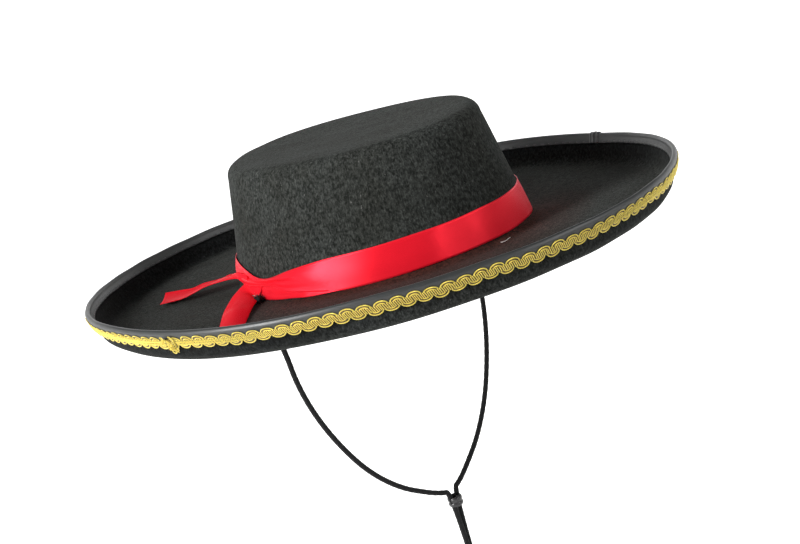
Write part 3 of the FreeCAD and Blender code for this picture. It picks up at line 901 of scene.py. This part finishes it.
def stitches(name, place, count, length, thread, sink, replaced):
    """Sewn stitches: place(theta, out) gives points on the cloth, moved out of it by a distance."""
    parts = []
    s = np.linspace(-0.5, 0.5, 7)
    for index in range(count):
        middle = TAU * (index + 0.5) / count
        centre = place(np.array([middle]), 0.0)[0]
        beside = place(np.array([middle + 0.001]), 0.0)[0]
        per_mm = 0.001 / np.linalg.norm(beside - centre)
        theta = middle + s * length * per_mm
        out = thread * 0.55 - sink * (2 * s) ** 4
        parts.append(tube_parts(place(theta, out), thread / 2, 6))
    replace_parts(joined(name, parts, "hat", thread_black), replaced)


def on_binding(theta, out):
    inner_face = MIDDLE - FACE - FELT / 2 + 0.05
    return wall_at(theta, np.full_like(theta, BINDING_LOW + 1.2), inner_face - np.asarray(out))


stitches("binding_thread", on_binding, BINDING_STITCHES, 3.6, 0.5, 0.6, "binding_stitching")

# ---------------------------------------------------------------- gold braid
BRAID_MIDDLE = 14.2
PITCHES = 132


def braid_track():
    """Angles along the braid's middle line against the distance along it."""
    theta = np.linspace(0, TAU, 2881)
    line = wall_at(theta, np.full_like(theta, BRAID_MIDDLE), FACE + 0.5)
    run = np.concatenate([[0], np.cumsum(np.linalg.norm(np.diff(line, axis=0), axis=1))])
    return theta, run


TRACK_THETA, TRACK_RUN = braid_track()
BRAID_LENGTH = TRACK_RUN[-1]
PITCH = BRAID_LENGTH / PITCHES


def on_wall(along, across, out):
    """Braid coordinates to a point: distance along it, across it and out from the tape."""
    along = np.mod(along, BRAID_LENGTH)
    theta = np.interp(along, TRACK_RUN, TRACK_THETA)
    tilt = math.atan2(WALL_LEAN, WALL_TOP - BEND)
    z = BRAID_MIDDLE + across * math.cos(tilt)
    return wall_at(theta, z, FACE + out)


BAND_HALF = 1.75
RIBS_PER_PITCH = 8
# Each arch is two bright turns over two dark ones, whose dark colour is painted shade between the bright
# turns: half width, height and cord radius.
BRIGHT_TURNS = ((2.25, 2.42, 0.34), (4.02, 3.98, 0.33))
DARK_TURNS = ((1.25, 1.55, 0.45), (3.13, 3.20, 0.42))


def drift_of(x):
    """How far the braid's middle line wanders across the tape."""
    return 0.20 * np.sin(TAU * x / 97 + 1.1) + 0.14 * np.sin(TAU * x / 41 + 4.0)


def lobe(x0, sign, reach, height, steps):
    """One arch of wound cord above (sign 1) or below (-1) the braid's middle band."""
    a = np.linspace(math.pi, 0, steps)
    x = x0 + reach * np.cos(a) * (1 + 0.06 * np.sin(a))
    y = sign * (0.5 + (height - 0.5) * np.sin(a) ** 0.85)
    out = 0.26 + 0.36 * np.sin(a)
    return x - 0.30 * np.clip(y, -BAND_HALF, BAND_HALF), y, out


def braid_piece():
    """Rows of arches above and below a raised ribbed band that holds their feet."""
    parts, core = [], []
    start = np.interp(math.radians(182.5), TRACK_THETA, TRACK_RUN)
    for index in range(2 * PITCHES - 2):
        sign = 1 if index % 2 == 0 else -1
        x0 = (index + 1.0) * PITCH / 2 + rng.normal(0, 0.16)
        grow = 1 + rng.uniform(-0.11, 0.08)
        for reach, height, radius in BRIGHT_TURNS:
            x, y, out = lobe(x0, sign, reach * (1 + rng.uniform(-0.04, 0.04)), height * grow, 12)
            out = out + rng.uniform(-0.06, 0.10)
            parts.append(tube_parts(on_wall(start + x, y + drift_of(x), out), radius, 6))
        for reach, height, radius in DARK_TURNS:
            x, y, out = lobe(x0, sign, reach, height * grow, 9)
            core.append(tube_parts(on_wall(start + x, y + drift_of(x), out - 0.42), radius, 5))
    spacing = PITCH / RIBS_PER_PITCH
    y = np.linspace(-BAND_HALF, BAND_HALF, 7)
    out = 0.84 + 0.30 * np.abs(np.sin(math.pi * y / BAND_HALF)) - 0.33 * (np.abs(y) / BAND_HALF) ** 6
    for index in range(int((PITCHES - 1) * RIBS_PER_PITCH)):
        x = PITCH / 2 + index * spacing + rng.normal(0, 0.06) - 0.36 * y
        parts.append(tube_parts(on_wall(start + x, y + drift_of(x), out + rng.uniform(-0.05, 0.05)), 0.25, 5))
    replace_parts(joined("gold_gimp", parts, "hat", gold), "gold_braid")
    # Darker yarn fills the braid: behind the ribs and between the bright turns of each arch. Its dark colour
    # is painted shade in these gaps.
    x = np.arange(0, (PITCHES - 1) * PITCH, 1.5)
    for y in (-1.35, -0.45, 0.45, 1.35):
        core.append(tube_parts(on_wall(start + x, y + drift_of(x), np.full_like(x, 0.40)), 0.46, 5))
    joined("gold_gimp_core_shade", core, "hat", gold_core_shade)
    return start


braid_start = braid_piece()


def braid_join_piece():
    """The braid's ends, folded over one another: crushed arches, pulled loops and loose threads."""
    parts, core = [], []
    local = np.random.default_rng(3)

    def add(line, radius, sides=6):
        line = np.asarray(line)
        parts.append(tube_parts(on_wall(braid_start + line[:, 0], line[:, 1], line[:, 2]), radius, sides))

    # Three arches of the folded ends lie over the joint at a slant.
    for cx, cy, turn, size in ((0.6, -1.5, -0.5, 1.0), (-2.6, 0.3, 2.5, 0.85), (1.8, 0.9, 0.9, 0.8)):
        for reach, height, radius in BRIGHT_TURNS:
            a = np.linspace(-0.5, math.pi + 0.7, 15)
            x, y = reach * size * np.cos(a), reach * size * 0.95 * np.sin(a) - 1.0
            out = 1.3 + 0.5 * np.sin(a) + local.uniform(-0.1, 0.25)
            c, s = math.cos(turn + math.pi), math.sin(turn + math.pi)
            add(np.stack([cx + x * c - y * s, cy + x * s + y * c, out], -1), 0.36)
            # A dark core cord under each arch: painted shade beneath it.
            x, y = 0.72 * x, 0.72 * y - 0.28
            inner = np.stack([cx + x * c - y * s, cy + x * s + y * c, out - 0.3], -1)
            core.append(tube_parts(on_wall(braid_start + inner[:, 0], inner[:, 1], inner[:, 2]), 0.42, 5))
    loops = [
        [(-1.6, -4.2, 1.9), (-1.9, -6.0, 2.2), (-0.4, -6.9, 2.3), (1.2, -6.0, 2.2), (1.0, -4.0, 2.0)],
        [(-4.2, 1.6, 1.8), (-5.0, 3.9, 2.1), (-3.9, 5.0, 2.3), (-2.7, 4.2, 2.4), (-2.9, 1.9, 2.2)],
        [(1.6, -4.0, 2.4), (3.0, -5.3, 2.4), (4.3, -4.4, 2.3), (3.9, -2.6, 2.1)],
        [(-5.4, -0.4, 1.6), (-6.4, 1.0, 1.7), (-5.2, 2.4, 2.0), (-3.6, 1.9, 2.2)],
    ]
    for loop in loops:
        add(spline_through(np.array(loop), 22), 0.30)
    for _ in range(30):
        x0, y0 = local.uniform(-5, 3.8), local.uniform(-5.2, 3.0)
        bend = local.normal(0, 0.8, (3, 2))
        add(spline_through([(x0, y0, 1.9), (x0 + bend[0, 0], y0 + bend[0, 1], 2.8),
                            (x0 + bend[1, 0] * 1.6, y0 + bend[1, 1] * 1.6, 3.1 + abs(bend[2, 0]) * 0.5)], 9),
            0.14, 5)
    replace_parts(joined("gold_gimp_join", parts, "hat", gold), "braid_join")
    joined("gold_gimp_join_core_shade", core, "hat", gold_core_shade)


braid_join_piece()

# ---------------------------------------------------------------- red ribbon
# Heights of the ribbon's edges above the brim's underside, by angle in degrees.
RIBBON_TOP = [(20, 24.5), (60, 23.2), (90, 22.7), (115, 23.2), (134, 24.2), (146, 22.9), (158.5, 19.6),
              (166, 16.6), (171.5, 15.6), (177, 16.6), (184.5, 19.6), (193.5, 22.3), (203, 24.2), (225, 25.2),
              (250, 25.9), (285, 26.2), (320, 26.2), (350, 25.2)]
RIBBON_LOW = [(20, 2.9), (60, 2.5), (90, 2.5), (112, 2.9), (126, 6.5), (136, 9.8), (146, 10.9), (156, 9.6),
              (163, 10.4), (170, 11.4), (176.5, 11.6), (183, 8.6), (190, 7.2), (197, 5.9), (204, 4.4),
              (214, 4.2), (240, 5.1), (270, 5.4), (300, 5.0), (330, 3.8)]
UNDER_LOW = [(140, 4.6), (160, 3.4), (175, 3.1), (184.5, 3.8), (191, 3.7), (204, 4.4), (214, 4.3), (300, 4.3)]
KNOT_DEGREES = 170.0


def gathers(degrees, v, size=1.3, spread=16.0):
    """Folds that run into the knot and die out away from it."""
    near = np.exp(-((degrees - KNOT_DEGREES) / spread) ** 2)
    far = np.exp(-((degrees - KNOT_DEGREES) / (spread * 2.2)) ** 2)
    return (size * near * (0.5 + 0.5 * np.cos(TAU * (2.4 * v + 0.15)))
            + 0.35 * size * far * np.cos(TAU * (1.3 * v + degrees / 60)))


def ribbon_band():
    degrees = np.arange(720) / 2.0
    v = np.linspace(0, 1, 17)
    d, vv = np.meshgrid(degrees, v, indexing="ij")
    low, high = keyed(d, RIBBON_LOW), keyed(d, RIBBON_TOP)
    z = low + (high - low) * vv
    raised = smooth(128, 146, d) * (1 - smooth(186, 212, d))
    slack = (0.25 * np.sin(TAU * d / 47 + 1.0) ** 2 * np.sin(math.pi * vv)
             + 0.14 * np.sin(TAU * d / 29 + 3 * vv))
    out = 0.42 + 1.15 * raised + 0.12 + slack * 0.7 + gathers(d, vv)
    curl = 0.5 * raised * (np.abs(2 * vv - 1) ** 3)
    surface = crown_at(np.radians(d), z, out - curl)
    piece = thick_sheet("ribbon_around_crown", surface, 0.34, "hat", satin, closed=True)
    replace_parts(piece, "ribbon_band")


def ribbon_under():
    """The lower half of the ribbon, folded under where it runs into the knot."""
    degrees = np.linspace(163, 213, 90)
    v = np.linspace(0, 1, 11)
    d, vv = np.meshgrid(degrees, v, indexing="ij")
    low, high = keyed(d, UNDER_LOW), keyed(d, RIBBON_LOW) + 3.5
    z = low + (high - low) * vv
    out = 0.30 + 0.34 * smooth(213, 200, d) + 0.45 * gathers(d, vv + 0.3, 0.8, 18.0) * (1 - vv)
    out = np.maximum(out, 0.24)
    piece = thick_sheet("ribbon_knot_fold", crown_at(np.radians(d), z, out), 0.3, "hat", satin)
    return piece


def ribbon_tail(edges, arch, curls, count=64, across=15):
    """A loose end between two edge lines; arch lifts its middle along its length."""
    left = spline_through([e[0] for e in edges], count)
    right_edge = spline_through([e[1] for e in edges], count)
    v = np.linspace(0, 1, across)[None, :, None]
    surface = left[:, None] * (1 - v) + right_edge[:, None] * v
    du = np.gradient(surface, axis=0)
    dv = np.gradient(surface, axis=1)
    normal = np.cross(du, dv)
    normal /= np.maximum(np.linalg.norm(normal, axis=2), 1e-9)[..., None]
    share = np.linspace(0, 1, count)[:, None]

    def height(v):
        lift = np.interp(share, np.linspace(0, 1, len(arch)), arch) * (1 - (2 * v - 1) ** 2)
        return lift + curls * np.sin(TAU * (share * 1.4 + v * 0.6)) * np.sin(math.pi * share)

    front = surface + normal * height(v[..., 0])[..., None]
    # Where the end is narrower than the ribbon, the rest of its width is folded back underneath. The
    # photograph doesn't show this layer.
    width = np.linalg.norm(right_edge - left, axis=1)
    rest = np.clip((RIBBON_WIDTH - width) / width, 0.04, 0.85)
    shares = 1 - rest[:, None] * np.linspace(0, 1, 9)[None, 1:]
    under = left[:, None] * (1 - shares[..., None]) + right_edge[:, None] * shares[..., None]
    edge_normal = normal[:, -1:]
    gap = 0.30 + 0.45 * np.sqrt(np.linspace(0, 1, 9)[1:])[None, :] * np.minimum(1, rest * 6)[:, None]
    under = under + edge_normal * (height(shares) - gap)[..., None]
    return np.concatenate([front, under], 1)


def crown_spot(degrees, z, out):
    return tuple(crown_at(math.radians(degrees), z, out))


# Each pair holds a ribbon end's two edges at one place along it, from the knot outwards.
LOWER_TAIL = [
    (crown_spot(152, 13.5, 0.75), crown_spot(170, 13.0, 0.95)),
    (crown_spot(154.5, 10.6, 1.5), crown_spot(168.5, 8.2, 1.9)),
    ((-90.5, 38.4, 9.2), (-93.6, 18.5, 4.6)),
    ((-99.5, 36.2, 7.2), (-98.2, 13.6, 4.3)),
    ((-112.2, 27.0, 5.8), (-107.0, 6.6, 4.0)),
    ((-126.0, 12.8, 5.2), (-117.5, -2.9, 3.6)),
    ((-139.5, -2.2, 4.6), (-127.5, -12.3, 3.3)),
    ((-152.0, -16.5, 4.0), (-139.5, -25.5, 3.2)),
]
UPPER_TAIL = [
    (crown_spot(160, 11.5, 2.0), crown_spot(160, 17.0, 2.0)),
    (crown_spot(150, 11.8, 2.6), crown_spot(150, 17.2, 2.5)),
    ((-79.8, 53.5, 12.2), (-75.3, 60.0, 14.6)),
    ((-79.5, 61.5, 11.9), (-68.6, 76.0, 11.0)),
    ((-83.5, 71.3, 11.0), (-71.0, 89.5, 9.0)),
    ((-88.7, 80.9, 10.0), (-76.3, 98.8, 8.5)),
    ((-93.4, 89.8, 7.8), (-79.9, 108.6, 6.3)),
    ((-96.5, 100.8, 5.6), (-82.6, 119.6, 6.4)),
    ((-103.3, 116.4, 4.9), (-86.8, 132.6, 6.6)),
]
ribbon_band()
knot_fold = ribbon_under()
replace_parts(knot_fold, "ribbon_knot")
lower_surface = ribbon_tail(LOWER_TAIL, (0.3, 0.6, 2.2, 2.6, 2.2, 1.6), curls=0.5)
lower_tail = thick_sheet("ribbon_lower_end", lower_surface, 0.3, "hat", satin_back)
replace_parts(lower_tail, "lower_ribbon_tail")
upper_surface = ribbon_tail(UPPER_TAIL, (0.2, 0.4, -0.8, -0.5, 0.6, 1.0), curls=0.4)
upper_tail = thick_sheet("ribbon_upper_end", upper_surface, 0.3, "hat", satin_back)
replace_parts(upper_tail, "upper_ribbon_tail")


# ---------------------------------------------------------------- sweatband
def sweatband_slack(theta, z):
    """How far the band stands off the felt, in shallow waves that grow towards its free edge."""
    return 0.25 * np.sin(theta * 23) * smooth(10, 30, z) + 0.2 * np.sin(theta * 9 + 1)


def sweatband_section(theta):
    rows = []
    back, face = -2 * FELT - 0.2, -2 * FELT - 1.0
    for z in np.linspace(0.5, 29.5, 9):
        slack = sweatband_slack(theta, z)
        rows.append(crown_at(theta, np.full_like(theta, z), face - 0.3 - slack * 0.6))
    rows.append(crown_at(theta, np.full_like(theta, 30.0), (back + face) / 2 - 0.3))
    for z in np.linspace(29.5, 0.5, 7):
        slack = sweatband_slack(theta, z)
        rows.append(crown_at(theta, np.full_like(theta, z), back - 0.3 - slack * 0.6))
    rows.append(crown_at(theta, np.full_like(theta, 0.1), (back + face) / 2 - 0.3))
    return np.stack(rows, 1)


sweatband = ring_loft("sweatband_tape", 480, sweatband_section, "hat", grosgrain, 590.0)
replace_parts(sweatband, "sweatband")


def on_sweatband(theta, out):
    slack = sweatband_slack(theta, 2.5)
    return crown_at(theta, np.full_like(theta, 2.5), -2 * FELT - 1.3 - slack * 0.6 - np.asarray(out))


stitches("sweatband_thread", on_sweatband, 120, 3.2, 0.5, 0.7, "sweatband_stitching")


# ---------------------------------------------------------------- frayed tuft and lint
def tuft_piece():
    """Frayed threads standing out of the right-hand anchor knot; the pale ones are painted glints on the
    black thread.
    """
    local = np.random.default_rng(5)
    dark, pale = [], []
    for k in range(46):
        root = np.array([-94.6, 15.5, 4.2]) + local.normal(0, 0.9, 3)
        way = local.normal(0, 1, 3) + np.array([-0.8, -0.3, 0.7])
        way /= np.linalg.norm(way)
        reach = local.uniform(2.0, 4.6)
        bend = local.normal(0, 0.9, 3)
        path = spline_through([root, root + way * reach * 0.5 + bend * 0.4, root + way * reach + bend], 8)
        path[:, 2] = np.maximum(path[:, 2], 2.3)
        # Every seventh thread is pale, a painted glint.
        (pale if k % 7 == 0 else dark).append(path)
    tubes("anchor_fray", dark, 0.16, 5, "hat", thread_black)
    tubes("anchor_fray_glints", pale, 0.13, 5, "hat", pale_lint_and_glints)


tuft_piece()
lint = spline_through([(4.0, -104.6, 3.0), (0.6, -105.9, 2.9), (-0.9, -108.6, 2.8), (1.0, -110.4, 2.9),
                       (4.6, -110.0, 3.3), (7.0, -108.8, 3.0)], 40)
tubes("lint_thread", [lint], 0.16, 6, "hat", pale_lint_and_glints)

# ---------------------------------------------------------------- floor and lights
FLOOR = -0.300
CENTRE = Vector((0.0, 0.0, 0.02))


def studio_floor():
    """A pale round floor that curves up far away, so that no horizon line shows."""
    rings = [(0.0, 0.0), (1.0, 0.0), (2.0, 0.0), (3.0, 0.0)]
    rings += [(3.0 + 1.6 * math.sin(a), 1.6 - 1.6 * math.cos(a)) for a in np.linspace(0, math.pi / 2, 17)[1:]]
    sides = 128
    points, faces = [(0.0, 0.0, FLOOR)], []
    for radius, height in rings[1:]:
        for k in range(sides):
            a = TAU * k / sides
            points.append((radius * math.cos(a), radius * math.sin(a), FLOOR + height))
    for k in range(sides):
        faces.append([0, 1 + k, 1 + (k + 1) % sides])
    for r in range(len(rings) - 2):
        for k in range(sides):
            n = (k + 1) % sides
            a = 1 + r * sides
            faces.append([a + k, a + sides + k, a + sides + n, a + n])
    mesh = bpy.data.meshes.new("studio_floor")
    mesh.from_pydata(points, [], faces)
    mesh.polygons.foreach_set("use_smooth", [True] * len(mesh.polygons))
    s = Shader("floor_pale")
    s.set(Roughness=0.9, Emission_Color=(1.0, 1.0, 1.0, 1.0))
    # The floor glows on its far side, to match the photograph's white ground.
    turned = s.node("ShaderNodeSeparateXYZ")
    s.link(s.place(rotation=(0, 0, math.radians(-50))), turned.inputs[0])
    glow = s.node("ShaderNodeMapRange", interpolation_type="SMOOTHSTEP")
    for key, value in (("From Min", -0.15), ("From Max", 0.22), ("To Min", 0.12), ("To Max", 0.85)):
        glow.inputs[key].default_value = value
    s.link(turned.outputs["X"], glow.inputs["Value"])
    s.link(glow.outputs["Result"], s.surface.inputs["Emission Strength"])
    grain = s.noise(s.place(), 3.0, 2, 0.5)
    s.colour(s.ramp(grain, [(0.3, (0.86, 0.86, 0.85)), (0.7, (0.90, 0.90, 0.89))]))
    mesh.materials.append(s.material)
    floor = bpy.data.objects.new("studio_floor", mesh)
    bpy.context.scene.collection.objects.link(floor)


studio_floor()


def soft_light(name, azimuth, elevation, distance, width, height, power):
    """A soft box aimed at the hat; azimuth 0 is the wearer's front, negative towards the right."""
    a, e = math.radians(azimuth), math.radians(elevation)
    place = CENTRE + distance * Vector((math.sin(a) * math.cos(e), -math.cos(a) * math.cos(e), math.sin(e)))
    data = bpy.data.lights.new(name, "AREA")
    data.shape = "RECTANGLE"
    data.size, data.size_y = width, height
    data.energy = power
    lamp = bpy.data.objects.new(name, data)
    lamp.location = place
    lamp.rotation_euler = (place - CENTRE).to_track_quat("Z", "Y").to_euler()
    bpy.context.scene.collection.objects.link(lamp)


soft_light("left_softbox", -95, 20, 1.7, 0.40, 1.1, 54)
soft_light("right_strip", 8, 13, 1.7, 0.07, 0.7, 4.5)
soft_light("right_softbox", 25, 30, 1.9, 0.7, 0.7, 9)
soft_light("top_softbox", -60, 72, 1.8, 1.2, 1.2, 1.5)
soft_light("back_softbox", 150, 35, 2.2, 1.2, 0.9, 5)

world = bpy.data.worlds.new("studio_world")
world.use_nodes = True
world.node_tree.nodes["Background"].inputs["Color"].default_value = (1.0, 1.0, 1.0, 1.0)
world.node_tree.nodes["Background"].inputs["Strength"].default_value = 0.24
bpy.context.scene.world = world
bpy.context.scene.view_settings.view_transform = "Standard"
